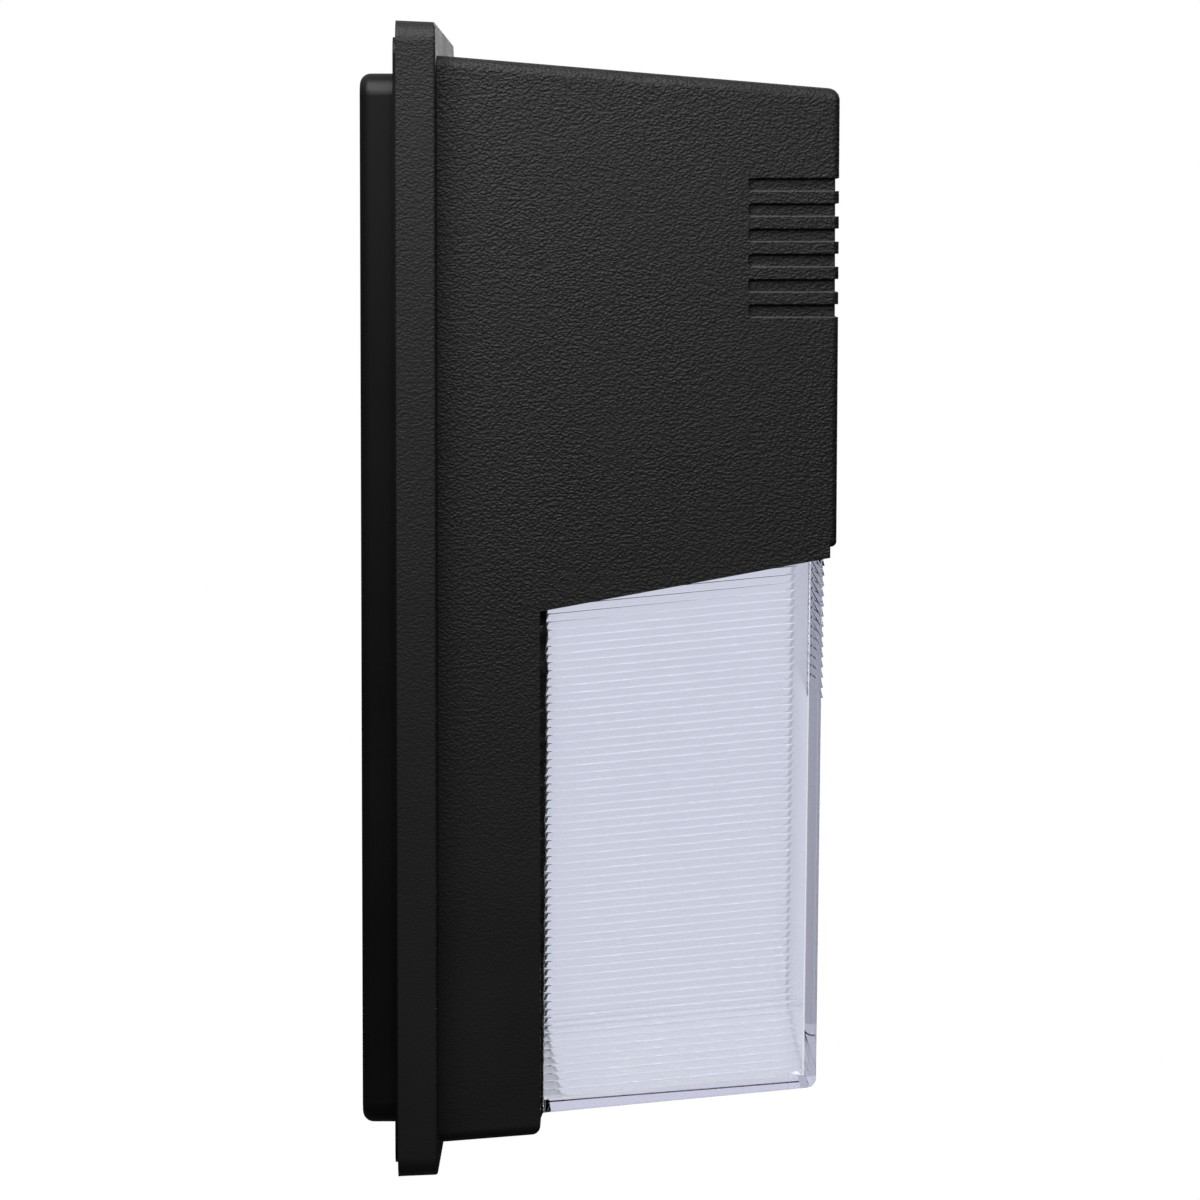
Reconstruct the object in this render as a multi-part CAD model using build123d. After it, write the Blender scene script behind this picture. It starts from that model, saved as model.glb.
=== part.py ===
# Wall pack light: a back box that stays on the wall and a hinged front with its lens and driver.
#
# Millimetres. +Z is up, the wall is the plane y = 0 and the front faces -Y. A "depth" here is the
# distance forward from the wall, so depth d lies at y = -d. The origin is the middle of the four
# wall screws, on the back box's rear face. The photographed side is the -X side.

import os
from math import pi, radians, tan

from build123d import *

# ---------------------------------------------------------------- driving dimensions

# flange of the front housing, the widest outline of the light
flange_height = 317.6
flange_side = 10.0
flange_over = 9.2
flange_under = 8.2
flange_rear = 10.4
flange_front = 21.3
flange_wall = 3.0
flange_corner = 5.5
flange_draft = 2.5
flange_edge = 0.8

# housing and hood
housing_width = 158.0
housing_wall = 3.2
hood_depth = 131.6
hood_draft = 0.26
roof_slope = 4.76
sole_slope = 4.6
frame_depth = 49.5
hood_bottom = 15.0
lip_step = 2.3
lip_height = 3.0
hood_cut_drop = 17.8
roof_edge = 3.3
hood_front_edge = 1.8
lip_edge = 1.5
sole_edge = 3.2

# louvre grooves round the hood's front corners
louvre_count = 6
louvre_drop = 33.5
louvre_pitch = 6.9
louvre_height = 3.55
louvre_depth = 1.1
louvre_reach = 24.9
louvre_end_round = 0.8

# lens
lens_side_gap = 0.5
lens_setback = 4.0
lens_front_draft = 0.6
lens_rise = 6.5
lens_lift = 7.3
lens_slope = 5.5
lens_wall = 3.2
lens_front_edge = 2.5
lens_side_edge = 0.6
lens_inner_edge = 1.5
lens_flange_lip = 1.8
lens_flange_thick = 3.0
lens_flange_corner = 3.0
lens_opening_corner = 1.0
lens_gasket_thick = 0.9
prism_count = 14
prism_pitch = 2.82
prism_height = 0.7
prism_root = 1.0
prism_side_margin = 5.0

# back box
pan_side_inset = 9.1
pan_end_inset = 9.55
pan_wall = 3.0
pan_corner = 6.0
pan_rear_edge = 3.0
body_drop = 0.5
rim_side_gap = 1.4
rim_end_gap = 0.9
rim_rear = 9.5
rim_thick = 3.0
rim_corner = 4.5
wall_hole_radius = 2.9
wall_hole_spacing_x = 110.0
wall_hole_spacing_z = 230.0
wall_boss_radius = 7.0
wall_boss_height = 2.0
box_slot_spacing = 88.9
box_slot_width = 4.8
box_slot_length = 14.0
wire_hole_radius = 11.1
grommet_bore = 6.0
grommet_length = 9.0
grommet_flange_radius = 13.5
grommet_flange_thick = 1.6
ground_x = 32.0
ground_z = -36.0
ground_boss_radius = 5.0
ground_boss_height = 5.0
ground_screw_radius = 1.55
ground_head_radius = 3.8
ground_head_height = 2.6

# rim gasket and the rib that presses on it
gasket_width = 3.0
gasket_thick = 2.5
rib_thick = 1.8

# hinge
hinge_sink = 0.5
hinge_drop = 2.2
hinge_x = 55.0
pin_radius = 1.25
lug_radius = 3.0
knuckle_radius = 2.8
knuckle_width = 10.0
lug_width = 8.0

# cover screws
screw_x = 45.0
screw_rise = 4.4
screw_thread_radius = 1.95
screw_neck_radius = 1.45
screw_head_radius = 3.3
screw_head_height = 2.4
screw_tip_gap = 0.3
screw_thread_length = 4.8
pocket_radius = 3.9
pocket_wall = 1.7
pocket_sink = 1.2
seal_thick = 0.8
insert_radius = 2.9
insert_proud = 0.4
recess_arm = 0.9
recess_reach = 2.0
recess_depth = 1.2

# gear tray and its screws
tray_thick = 1.6
tray_corner = 3.0
tray_boss_radius = 4.6
tray_boss_length = 18.0
tray_boss_sink = 1.0
tray_boss_floor = 2.0
tray_boss_drop = 0.3
tray_edge_gap = 1.0
tray_low_screw_x = 60.0
tray_screw_radius = 1.5
tray_tip_room = 4.0
tray_head_radius = 2.9
tray_head_height = 1.8
hook_width = 14.0
hook_height = 3.6
hook_thick = 1.8
hook_root = 1.0
hook_x = 24.0

# light engine
board_side_room = 20.3
board_height = 68.0
board_thick = 1.6
board_lift = 5.9
board_screw_inset = 5.0
board_head_radius = 2.5
board_head_height = 1.6
board_tip_gap = 0.2
chip_columns = 8
chip_rows = 5
chip_size = 3.5
chip_thick = 0.8
chip_pitch_x = 9.0
chip_pitch_z = 11.0
chip_shift_x = -8.0
reflector_sheet = 1.0
reflector_depth = 6.5
reflector_corner = 2.0
connector_width = 9.0
connector_height = 10.0
connector_thick = 5.5
connector_inset = 10.5
connector_entry_rise = 3.0
connector_entry_length = 4.0
sink_side_inset = 6.0
sink_base = 2.0
sink_depth = 14.0
sink_fins = 9
sink_fin_thick = 1.6

# driver
driver_side_room = 19.8
driver_height = 40.0
driver_depth = 34.0
driver_drop = 67.6
driver_wall = 1.5
driver_lid_plug = 1.0
driver_screw_reach = 2.0
driver_lead_rise = 16.0
driver_ear = 11.0
driver_ear_height = 10.0
driver_ear_thick = 3.0
driver_ear_rise = 9.0
circuit_thick = 1.6
circuit_standoff = 4.0
ledge_inset = 14.0
ledge_rise = 8.0
ledge_width = 4.0
ledge_height = 8.0
coil_size = (22.0, 20.0, 16.0)
coil_place = (-12.0, 0.0)
relay_size = (12.0, 15.0, 9.0)
relay_place = (-36.0, -3.0)
capacitors = [(20.0, 4.0, 6.3, 15.0), (36.0, 4.0, 4.0, 11.0)]

# terminal block
terminal_width = 40.0
terminal_height = 14.0
terminal_depth = 11.0
terminal_drop = 29.6
terminal_poles = 3
terminal_pitch = 12.0
terminal_entry_radius = 1.9
terminal_screw_radius = 1.4
terminal_head_radius = 2.4
terminal_head_sink = 0.5
terminal_seat_sink = 2.5
terminal_tip_sink = 4.5
terminal_entry_shift = 1.0
terminal_entry_length = 5.0

# leads and their grommets
lead_radius = 0.9
lead_grommet_radius = 5.2
lead_grommet_bore = 3.6
lead_grommet_groove = 4.3
lead_grommet_lip = 1.0
lead_pair_inset = 8.6
lead_pair_drop = 13.0
board_pair_inset = 8.7
board_pair_rise = 5.0
lead_step = 1.3
lead_run_back = 9.0
lead_entry_reach = 1.5

# clearances
slide_gap = 0.1
seat_gap = 0.3
fit_gap = 0.05
pin_gap = 0.04
pocket_gap = 0.4
tiny = 0.01

# ---------------------------------------------------------------- worked-out places

half_housing = housing_width / 2
half_flange = half_housing + flange_side
half_inside = half_housing - housing_wall
half_lens = half_inside - lens_flange_lip - lens_side_gap
half_opening = half_lens + pocket_gap
housing_top = flange_height / 2 - flange_over
housing_bottom = flange_under - flange_height / 2
flange_back = flange_front - flange_wall
lip_depth = hood_depth - lip_step
lip_bottom = hood_bottom - lip_height
hood_cut_low = hood_bottom - hood_cut_drop
louvre_first = housing_top - louvre_drop
louvre_start = hood_depth - louvre_reach
lens_front = hood_depth - lens_setback
lens_top = hood_bottom + lens_rise
lens_bottom = housing_bottom + lens_lift
prism_top = lip_bottom
hood_floor = lens_top + lens_wall
hood_floor_top = hood_floor + housing_wall
ring_back = frame_depth - housing_wall
lens_flange_front = ring_back - lens_gasket_thick
tray_front = lens_flange_front - lens_flange_thick
tray_back = tray_front - tray_thick
half_lens_flange = half_lens + lens_flange_lip
rim_width = 2 * (half_flange - flange_wall - rim_side_gap)
rim_height = flange_height - 2 * (flange_wall + rim_end_gap)
pan_width = rim_width - 2 * pan_side_inset
pan_height = rim_height - 2 * pan_end_inset
rim_front = rim_rear + rim_thick
hinge_depth = rim_front - hinge_sink
hinge_z = rim_height / 2 - body_drop - hinge_drop
screw_z = screw_rise - rim_height / 2 - body_drop
screw_tip = rim_rear - screw_tip_gap
screw_thread_start = screw_tip + screw_thread_length
insert_front = rim_front + insert_proud
gasket_front = rim_front + gasket_thick
seal_front = flange_front - pocket_sink + seal_thick
half_tray = half_inside - tray_edge_gap
board_width = 2 * (half_lens - lens_wall - board_side_room)
board_z = (lens_top + lens_bottom) / 2 + board_lift
board_pair_x = half_lens - lens_wall - board_pair_inset
board_pair_z = board_z + board_pair_rise
connector_x = board_width / 2 - connector_inset
sink_width = board_width - 2 * sink_side_inset
driver_width = 2 * (half_inside - driver_side_room)
driver_z = housing_top - driver_drop
lead_pair_x = half_inside - lead_pair_inset
lead_pair_z = driver_z - lead_pair_drop
terminal_z = housing_top - terminal_drop
screw_places = [(-screw_x, screw_z), (screw_x, screw_z)]


def roof(depth):
    return housing_top - (depth - flange_front) * tan(radians(roof_slope))


def sole(depth):
    return housing_bottom + (depth - flange_front) * tan(radians(sole_slope))


def hood_face(z):
    return hood_depth - (roof(hood_depth) - z) * tan(radians(hood_draft))


def lens_sole(depth):
    return lens_bottom + (depth - ring_back) * tan(radians(lens_slope))


def lens_face(z):
    return lens_front - (lens_top - z) * tan(radians(lens_front_draft))


# ---------------------------------------------------------------- shape helpers


# a front-view outline carried from one depth to another
def slab(outline, near, far, taper=0.0):
    return extrude(Plane.XZ.offset(near) * outline, amount=far - near, taper=taper)


# a side-view outline of (depth, z) points carried evenly to both sides
def profile(points, half_width):
    face = make_face(Polyline([(-depth, z) for depth, z in points], close=True))
    return extrude(Plane.YZ * face, amount=half_width, both=True)


def panel(half_width, top, bottom, radius):
    return Pos(0, (top + bottom) / 2) * RectangleRounded(2 * half_width, top - bottom, radius)


def centred_panel(width, height, radius):
    return panel(width / 2, height / 2 - body_drop, -height / 2 - body_drop, radius)


# a rod that points away from the wall
def rod(x, z, radius, near, far):
    return slab(Pos(x, z) * Circle(radius), near, far)


def block(x, z, width, height, near, far):
    return slab(Pos(x, z) * Rectangle(width, height), near, far)


def cross_rod(x, depth, z, radius, length):
    return Pos(x, -depth, z) * Rot(0, 90, 0) * Cylinder(radius, length)


def edges_where(solid, wanted):
    return [edge for edge in solid.edges() if wanted(edge @ 0.5)]


def screw(x, z, head_radius, head_near, head_far, shank_radius, tip):
    head = rod(x, z, head_radius, min(head_near, head_far), max(head_near, head_far))
    shank = rod(x, z, shank_radius, min(head_near, tip), max(head_near, tip))
    recess = screw_recess(x, z, head_far, -1 if head_far < head_near else 1)
    return head + shank - recess


# a cross recess cut into a head whose outer face is at this depth
def screw_recess(x, z, face, outward):
    near = min(face, face - outward * recess_depth)
    far = max(face, face - outward * recess_depth)
    upright = block(x, z, recess_arm, 2 * recess_reach, near, far)
    return upright + block(x, z, 2 * recess_reach, recess_arm, near, far)


def group(solids):
    return Compound(children=[solid for solid in solids])


nodes = {}


# ---------------------------------------------------------------- wall box


# the gasket's outline dips inwards round the two cover screws
def seal_outline(outward, round_screw):
    outline = panel(
        half_inside + outward,
        roof(flange_back) - housing_wall + outward,
        sole(flange_back) + housing_wall - outward,
        pan_corner,
    )
    for x, z in screw_places:
        outline -= Pos(x, z) * Circle(round_screw)
    return outline


def ring_outline(outward, round_screw, width):
    return seal_outline(outward, round_screw) - seal_outline(outward - width, round_screw + width)


def make_back_box():
    pan = slab(centred_panel(pan_width, pan_height, pan_corner), 0, rim_rear + rim_thick)
    pan = fillet(edges_where(pan, lambda p: p.Y > -tiny), pan_rear_edge)
    rim = slab(centred_panel(rim_width, rim_height, rim_corner), rim_rear, rim_front)
    box = pan + rim
    inside = centred_panel(
        pan_width - 2 * pan_wall, pan_height - 2 * pan_wall, pan_corner - pan_wall
    )
    box -= slab(inside, pan_wall, rim_front)
    for x in (-wall_hole_spacing_x / 2, wall_hole_spacing_x / 2):
        for z in (-wall_hole_spacing_z / 2, wall_hole_spacing_z / 2):
            box += rod(x, z, wall_boss_radius, pan_wall, pan_wall + wall_boss_height)
            box -= rod(x, z, wall_hole_radius, 0, pan_wall + wall_boss_height)
    for x in (-box_slot_spacing / 2, box_slot_spacing / 2):
        box -= slab(Pos(x, 0) * SlotOverall(box_slot_length, box_slot_width), 0, pan_wall)
    box -= rod(0, 0, wire_hole_radius, 0, pan_wall)
    box += rod(ground_x, ground_z, ground_boss_radius, pan_wall, pan_wall + ground_boss_height)
    ground_hole = ground_screw_radius + fit_gap
    box -= rod(ground_x, ground_z, ground_hole, pan_wall, pan_wall + ground_boss_height)
    for side in (-1, 1):
        box = add_lugs(box, side * hinge_x)
    for x, z in screw_places:
        box -= rod(x, z, insert_radius + fit_gap, rim_rear, rim_front)
    return box


def add_lugs(box, x):
    notch_height = rim_height
    notch_bottom = hinge_z - knuckle_radius - seat_gap
    notch_z = notch_bottom + notch_height / 2
    box -= block(x, notch_z, knuckle_width + 2 * seat_gap, notch_height, rim_rear, rim_front)
    lug_shift = knuckle_width / 2 + seat_gap + lug_width / 2
    behind_rim = block(x, hinge_z, 4 * lug_shift, 4 * lug_radius, 0, rim_rear)
    for side in (-1, 1):
        lug = cross_rod(x + side * lug_shift, hinge_depth, hinge_z, lug_radius, lug_width)
        box += lug - behind_rim
    return box - cross_rod(x, hinge_depth, hinge_z, pin_radius + pin_gap, pin_length())


def pin_length():
    return knuckle_width + 2 * seat_gap + 2 * lug_width


def make_hinge_pins():
    return group(
        [cross_rod(x, hinge_depth, hinge_z, pin_radius, pin_length()) for x in (-hinge_x, hinge_x)]
    )


def make_screw_inserts():
    inserts = []
    for x, z in screw_places:
        sleeve = rod(x, z, insert_radius, rim_rear, insert_front)
        inserts.append(sleeve - rod(x, z, screw_thread_radius + seat_gap, rim_rear, insert_front))
    return group(inserts)


def make_rim_gasket():
    outward = gasket_width / 2 + rib_thick / 2
    round_screw = pocket_radius - (gasket_width - rib_thick) / 2
    outline = ring_outline(outward, round_screw, gasket_width)
    return slab(outline, rim_front, gasket_front)


def make_ground_screw():
    face = pan_wall + ground_boss_height
    head_far = face + ground_head_height
    return screw(
        ground_x, ground_z, ground_head_radius, face, head_far, ground_screw_radius, pan_wall
    )


def make_cable_grommet():
    body = rod(0, 0, wire_hole_radius - fit_gap, 0, grommet_length)
    flange = rod(0, 0, grommet_flange_radius, pan_wall, pan_wall + grommet_flange_thick)
    return body + flange - rod(0, 0, grommet_bore, 0, grommet_length)


nodes["back_box"] = make_back_box()
nodes["rim_gasket"] = make_rim_gasket()
nodes["hinge_pins"] = make_hinge_pins()
nodes["screw_inserts"] = make_screw_inserts()
nodes["ground_screw"] = make_ground_screw()
nodes["cable_grommet"] = make_cable_grommet()

# ---------------------------------------------------------------- front housing


def make_shell():
    hood_top = roof(hood_depth)
    outer = profile(
        [
            (flange_back, roof(flange_back)),
            (hood_depth, hood_top),
            (hood_face(hood_bottom), hood_bottom),
            (lip_depth, hood_bottom),
            (lip_depth, lip_bottom),
            (frame_depth, hood_cut_low),
            (frame_depth, sole(frame_depth)),
            (flange_back, sole(flange_back)),
        ],
        half_housing,
    )

    def on_roof(p):
        on_side = abs(abs(p.X) - half_housing) < tiny
        on_front = abs(p.Y + hood_depth) < tiny
        return abs(p.Z - roof(-p.Y)) < tiny and (on_side or on_front)

    def on_hood_front(p):
        return abs(p.X) > half_housing - tiny and abs(-p.Y - hood_face(p.Z)) < tiny

    def on_lip(p):
        on_bottom = abs(p.Z - hood_bottom) < tiny
        return on_bottom and abs(p.X) < tiny and -p.Y > lip_depth + tiny

    def on_sole(p):
        on_side = abs(abs(p.X) - half_housing) < tiny
        on_front = abs(p.X) < tiny and abs(p.Y + frame_depth) < tiny
        return abs(p.Z - sole(-p.Y)) < tiny and (on_side or on_front)

    outer = fillet(edges_where(outer, on_roof), roof_edge)
    outer = fillet(edges_where(outer, on_hood_front), hood_front_edge)
    outer = fillet(edges_where(outer, on_lip), lip_edge)
    outer = fillet(edges_where(outer, on_sole), sole_edge)
    return outer


def make_louvres():
    outside = 2 * hood_depth
    band_low = louvre_first - louvre_pitch * louvre_count
    core = profile(
        [
            (0, louvre_first + louvre_pitch),
            (hood_face(louvre_first) - louvre_depth, louvre_first + louvre_pitch),
            (hood_face(louvre_first) - louvre_depth, band_low),
            (0, band_low),
        ],
        half_housing - louvre_depth,
    )
    grooves = []
    for index in range(louvre_count):
        top = louvre_first - index * louvre_pitch
        groove = block(0, top - louvre_height / 2, outside, louvre_height, louvre_start, outside)
        ends = edges_where(groove, lambda p: abs(p.Y + louvre_start) < tiny and abs(p.X) < tiny)
        grooves.append(fillet(ends, louvre_end_round) - core)
    return grooves


def make_flange():
    outline = panel(half_flange, flange_height / 2, -flange_height / 2, flange_corner)
    flange = slab(outline, flange_rear, flange_front, taper=flange_draft)
    flange = fillet(edges_where(flange, lambda p: abs(p.Y + flange_front) < tiny), flange_edge)
    inside = panel(
        half_flange - flange_wall,
        flange_height / 2 - flange_wall,
        -flange_height / 2 + flange_wall,
        flange_corner - flange_wall,
    )
    return flange - slab(inside, flange_rear, flange_back)


def wiring_cavity():
    rear = flange_rear
    return profile(
        [
            (rear, roof(rear) - housing_wall),
            (hood_depth - housing_wall, roof(hood_depth) - housing_wall),
            (hood_face(hood_floor_top) - housing_wall, hood_floor_top),
            (ring_back, hood_floor_top),
            (ring_back, sole(ring_back) + housing_wall),
            (rear, sole(rear) + housing_wall),
        ],
        half_inside,
    )


# the room under the hood that the lens stands in, open below
def lens_pocket():
    front = hood_face(hood_bottom) - housing_wall
    low = hood_cut_low - housing_wall
    points = [(frame_depth, hood_floor), (front, hood_floor), (front, low), (frame_depth, low)]
    return profile(points, half_inside)


def opening_outline():
    top = lens_top + pocket_gap
    return panel(half_opening, top, lens_bottom - pocket_gap, lens_opening_corner)


def lens_flange_outline():
    top = lens_top + lens_flange_lip
    return panel(half_lens_flange, top, lens_bottom - lens_flange_lip, lens_flange_corner)


def tray_screw_places():
    low_z = hood_floor_top + tray_boss_radius - tray_boss_sink
    high_x = half_inside - tray_boss_radius
    high_z = roof(ring_back) - housing_wall - tray_boss_radius - tray_boss_drop
    low = [(side * tray_low_screw_x, low_z) for side in (-1, 1)]
    return low + [(side * high_x, high_z) for side in (-1, 1)]


def make_front_housing():
    outer = make_shell()
    housing = outer + make_flange()
    housing -= wiring_cavity()
    housing -= lens_pocket()
    boss_front = tray_front + tray_boss_length
    for x, z in tray_screw_places():
        boss = rod(x, z, tray_boss_radius, tray_front, boss_front) & outer
        hole_end = boss_front - tray_boss_floor
        housing += boss - rod(x, z, tray_screw_radius + fit_gap, tray_front, hole_end)
    for x, z in screw_places:
        housing += rod(x, z, pocket_radius + pocket_wall, flange_back, frame_depth) & outer
    housing -= slab(opening_outline(), ring_back, frame_depth)
    for x, z in screw_places:
        housing -= rod(x, z, pocket_radius, flange_front - pocket_sink, 2 * frame_depth)
        housing -= rod(x, z, screw_neck_radius + slide_gap, flange_rear, flange_front)
    rib = ring_outline(rib_thick, pocket_radius, rib_thick)
    housing += slab(rib, gasket_front + slide_gap, flange_back)
    for x in (-hinge_x, hinge_x):
        housing += make_knuckle(x)
    hook_back = tray_back - slide_gap
    hook_low = sole(hook_back) + housing_wall - hook_root
    hook_rise = hook_height + hook_root
    for x in (-hook_x, hook_x):
        hook_near = hook_back - hook_thick
        housing += block(x, hook_low + hook_rise / 2, hook_width, hook_rise, hook_near, hook_back)
    for groove in make_louvres():
        housing -= groove
    return housing


def make_knuckle(x):
    barrel = cross_rod(x, hinge_depth, hinge_z, knuckle_radius, knuckle_width)
    web = block(x, hinge_z, knuckle_width, 2 * knuckle_radius, hinge_depth, flange_back)
    return barrel + web - cross_rod(x, hinge_depth, hinge_z, pin_radius + fit_gap, knuckle_width)


nodes["front_housing"] = make_front_housing()

# ---------------------------------------------------------------- lens


def lens_points(inset, rear):
    top = lens_top - inset
    low_front = lens_sole(lens_face(lens_bottom)) + inset
    return [
        (rear, top),
        (lens_face(top) - inset, top),
        (lens_face(low_front) - inset, low_front),
        (rear, lens_sole(rear) + inset),
    ]


# saw teeth on the front, each widening downwards to a sharp lower lip
def make_prisms():
    points = [(lens_face(prism_top) - prism_root, prism_top)]
    for index in range(prism_count):
        top = prism_top - index * prism_pitch
        low = top - prism_pitch
        points.append((lens_face(top), top))
        points.append((lens_face(low) + prism_height, low))
    bottom = prism_top - prism_count * prism_pitch
    points.append((lens_face(bottom) - prism_root, bottom))
    return profile(points, half_lens - prism_side_margin)


def make_lens():
    shell = profile(lens_points(0, tray_front), half_lens)

    def on_front_low(p):
        return abs(-p.Y - lens_face(p.Z)) < tiny and abs(p.Z - lens_sole(-p.Y)) < tiny

    def on_side(p):
        held = -p.Y < tray_front + tiny or p.Z > lens_top - tiny
        return abs(abs(p.X) - half_lens) < tiny and not held

    def on_inner_side(p):
        on_low = p.Z < lens_sole(-p.Y) + 2 * lens_wall
        return on_low and abs(abs(p.X) - half_lens + lens_wall) < tiny

    shell = fillet(edges_where(shell, on_front_low), lens_front_edge)
    shell = fillet(edges_where(shell, on_side), lens_side_edge)
    lens = shell + make_prisms() + slab(lens_flange_outline(), tray_front, lens_flange_front)
    inside = profile(lens_points(lens_wall, tray_front), half_lens - lens_wall)
    return lens - fillet(edges_where(inside, on_inner_side), lens_inner_edge)


def make_lens_gasket():
    return slab(lens_flange_outline() - opening_outline(), lens_flange_front, ring_back)


nodes["lens"] = make_lens()
nodes["lens_gasket"] = make_lens_gasket()

# ---------------------------------------------------------------- gear tray and light engine

lead_holes = [
    (lead_pair_x, lead_pair_z),
    (-lead_pair_x, lead_pair_z),
    (board_pair_x, board_pair_z),
]


def board_screw_places():
    reach_x = board_width / 2 - board_screw_inset
    reach_z = board_height / 2 - board_screw_inset
    return [(x, board_z + z) for x in (-reach_x, reach_x) for z in (-reach_z, reach_z)]


def driver_screw_places():
    reach = (driver_width + driver_ear) / 2
    return [(side * reach, driver_z + driver_ear_rise) for side in (-1, 1)]


def make_gear_tray():
    top = roof(ring_back) - housing_wall - tray_edge_gap
    bottom = lens_bottom - lens_flange_lip
    tray = slab(panel(half_tray, top, bottom, tray_corner), tray_back, tray_front)
    for x, z in tray_screw_places() + board_screw_places() + driver_screw_places():
        tray -= rod(x, z, tray_screw_radius + fit_gap, tray_back, tray_front)
    for x, z in lead_holes:
        tray -= rod(x, z, lead_grommet_groove + fit_gap, tray_back, tray_front)
    return tray


def make_tray_screws():
    tip = tray_front + tray_boss_length - tray_tip_room
    head_far = tray_back - tray_head_height
    screws = []
    for x, z in tray_screw_places():
        screws.append(screw(x, z, tray_head_radius, tray_back, head_far, tray_screw_radius, tip))
    return group(screws)


def make_reflector():
    half = half_lens - lens_wall - seat_gap
    top = lens_top - lens_wall - seat_gap
    bottom = lens_sole(tray_front) + lens_wall + 2 * seat_gap
    floor_front = tray_front + reflector_sheet
    pan = slab(panel(half, top, bottom, reflector_corner), tray_front, tray_front + reflector_depth)
    rim_low = bottom + reflector_depth * tan(radians(lens_slope))
    pan &= profile(
        [
            (tray_front, top),
            (tray_front + reflector_depth, top),
            (tray_front + reflector_depth, rim_low),
            (tray_front, bottom),
        ],
        half,
    )
    sheet = reflector_sheet
    pan -= slab(
        panel(half - sheet, top - sheet, rim_low + sheet, reflector_corner - sheet),
        floor_front,
        tray_front + reflector_depth,
    )
    window_width = board_width + 2 * seat_gap
    window_height = board_height + 2 * seat_gap
    pan -= block(0, board_z, window_width, window_height, tray_front, floor_front)
    hole = lead_grommet_radius + seat_gap
    pan -= rod(board_pair_x, board_pair_z, hole, tray_front, floor_front)
    return pan


def make_led_board():
    board = block(0, board_z, board_width, board_height, tray_front, tray_front + board_thick)
    for x, z in board_screw_places():
        board -= rod(x, z, tray_screw_radius + fit_gap, tray_front, tray_front + board_thick)
    return board


def make_led_chips():
    near = tray_front + board_thick
    chips = []
    for column in range(chip_columns):
        x = chip_shift_x + (column - (chip_columns - 1) / 2) * chip_pitch_x
        for row in range(chip_rows):
            z = board_z + (row - (chip_rows - 1) / 2) * chip_pitch_z
            chips.append(block(x, z, chip_size, chip_size, near, near + chip_thick))
    return group(chips)


def make_led_connector():
    near = tray_front + board_thick
    x = connector_x
    body = block(x, board_pair_z, connector_width, connector_height, near, near + connector_thick)
    entry_depth = near + connector_entry_rise
    entry_radius = lead_radius + slide_gap
    entry_x = x + connector_width / 2
    for step in (-lead_step, lead_step):
        entry_z = board_pair_z + step
        body -= cross_rod(entry_x, entry_depth, entry_z, entry_radius, connector_entry_length)
    return body


def make_board_screws():
    near = tray_front + board_thick
    far = near + board_head_height
    tip = tray_back - sink_base + board_tip_gap
    screws = []
    for x, z in board_screw_places():
        screws.append(screw(x, z, board_head_radius, near, far, tray_screw_radius, tip))
    return group(screws)


def make_heat_sink():
    base_near = tray_back - sink_base
    sink = block(0, board_z, board_width, board_height, base_near, tray_back)
    pitch = (sink_width - sink_fin_thick) / (sink_fins - 1)
    for index in range(sink_fins):
        x = -sink_width / 2 + sink_fin_thick / 2 + index * pitch
        fin_near = tray_back - sink_depth
        sink += block(x, board_z, sink_fin_thick, board_height, fin_near, base_near)
    for x, z in board_screw_places():
        sink -= rod(x, z, tray_screw_radius + fit_gap, base_near - sink_depth, tray_back)
    return sink


nodes["gear_tray"] = make_gear_tray()
nodes["tray_screws"] = make_tray_screws()
nodes["reflector"] = make_reflector()
nodes["led_board"] = make_led_board()
nodes["led_chips"] = make_led_chips()
nodes["led_connector"] = make_led_connector()
nodes["led_board_screws"] = make_board_screws()
nodes["heat_sink"] = make_heat_sink()

# ---------------------------------------------------------------- driver and terminals

entry_depth = tray_back - terminal_depth / 2 + terminal_entry_shift
driver_front = tray_front + driver_depth
lid_near = driver_front - driver_wall
driver_lead_depth = tray_front + driver_lead_rise


def make_driver_case():
    case = block(0, driver_z, driver_width, driver_height, tray_front, lid_near)
    inner_width = driver_width - 2 * driver_wall
    inner_height = driver_height - 2 * driver_wall
    case -= block(0, driver_z, inner_width, inner_height, tray_front + driver_wall, lid_near)
    ear_z = driver_z + driver_ear_rise
    ear_far = tray_front + driver_ear_thick
    for side in (-1, 1):
        ear_x = side * (driver_width + driver_ear) / 2
        case += block(ear_x, ear_z, driver_ear, driver_ear_height, tray_front, ear_far)
        case -= rod(ear_x, ear_z, tray_screw_radius + fit_gap, tray_front, ear_far)
        for step in (-lead_step, lead_step):
            wall_x = side * (driver_width - driver_wall) / 2
            hole_z = lead_pair_z + step
            hole = lead_radius + fit_gap
            case -= cross_rod(wall_x, driver_lead_depth, hole_z, hole, 2 * driver_wall)
    return case


def make_driver_lid():
    lid = block(0, driver_z, driver_width, driver_height, lid_near, driver_front)
    plug_width = driver_width - 2 * driver_wall - 2 * slide_gap
    plug_height = driver_height - 2 * driver_wall - 2 * slide_gap
    plug_near = lid_near - driver_lid_plug
    return lid + block(0, driver_z, plug_width, plug_height, plug_near, lid_near)


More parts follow.
